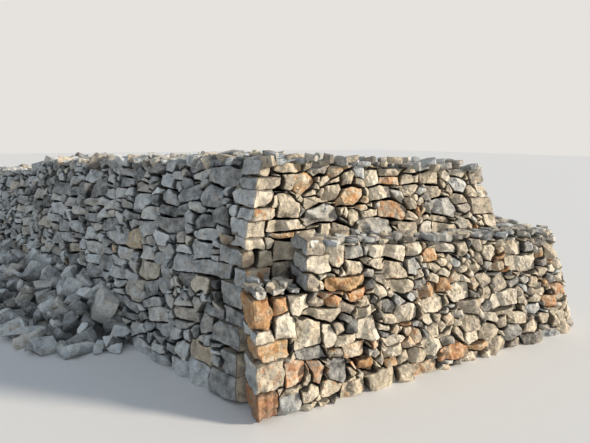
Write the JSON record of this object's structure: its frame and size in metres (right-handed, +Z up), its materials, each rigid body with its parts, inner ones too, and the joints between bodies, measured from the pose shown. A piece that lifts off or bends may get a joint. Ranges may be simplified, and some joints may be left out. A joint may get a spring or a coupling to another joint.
{
  "type": "dry stone wall",
  "caption": "L-shaped dry stone wall of rough limestone: a battered main wall with a lower bench and step along its front, and an arm that runs off at an open angle.",
  "frame": {"origin": "setting-out point on the ground, where the centre lines of the main wall and the arm cross, on the underside of the footing", "axes": "+X along the main wall towards its right end, +Y into the depth away from the bench, +Z up"},
  "size_m": [7.7389, 7.1412, 2.1165],
  "materials": {
    "face_stone": "rough split limestone, cream to beige with grey and rust-stained stones",
    "corner_stone": "large roughly squared limestone blocks, cream and rust orange",
    "footing_stone": "large rough limestone boulders, soil-stained",
    "cope_rubble": "loose flat limestone rubble, weathered grey",
    "tumbled_stone": "tumbled limestone blocks, weathered grey",
    "hearting_rubble": "small packed limestone rubble, dark in the joints"
  },
  "bodies": {
    "root": {"main_footing": "footing_stone", "main_front_face": "face_stone", "main_left_return": "face_stone", "main_right_end": "face_stone", "main_back_face": "face_stone", "main_hearting": "hearting_rubble", "main_cope": "cope_rubble", "main_corner_quoins": "corner_stone", "bench_footing": "footing_stone", "bench_front_face": "face_stone", "bench_round_end": "face_stone", "bench_hearting": "hearting_rubble", "bench_cover": "cope_rubble", "bench_left_quoins": "corner_stone", "step_corner_quoins": "corner_stone", "step_face": "face_stone", "step_cover": "cope_rubble", "arm_end_face": "face_stone", "arm_footing_1": "footing_stone", "arm_footing_2": "footing_stone", "arm_footing_3": "footing_stone", "arm_outer_face_1": "face_stone", "arm_outer_face_2": "face_stone", "arm_outer_face_3": "face_stone", "arm_inner_face_1": "face_stone", "arm_inner_face_2": "face_stone", "arm_inner_face_3": "face_stone", "arm_hearting_1": "hearting_rubble", "arm_hearting_2": "hearting_rubble", "arm_hearting_3": "hearting_rubble", "arm_cope_1": "cope_rubble", "arm_cope_2": "cope_rubble", "arm_cope_3": "cope_rubble", "tumbled_stones_1": "tumbled_stone", "tumbled_stones_2": "tumbled_stone", "tumbled_stones_3": "tumbled_stone"}
  },
  "joints": []
}
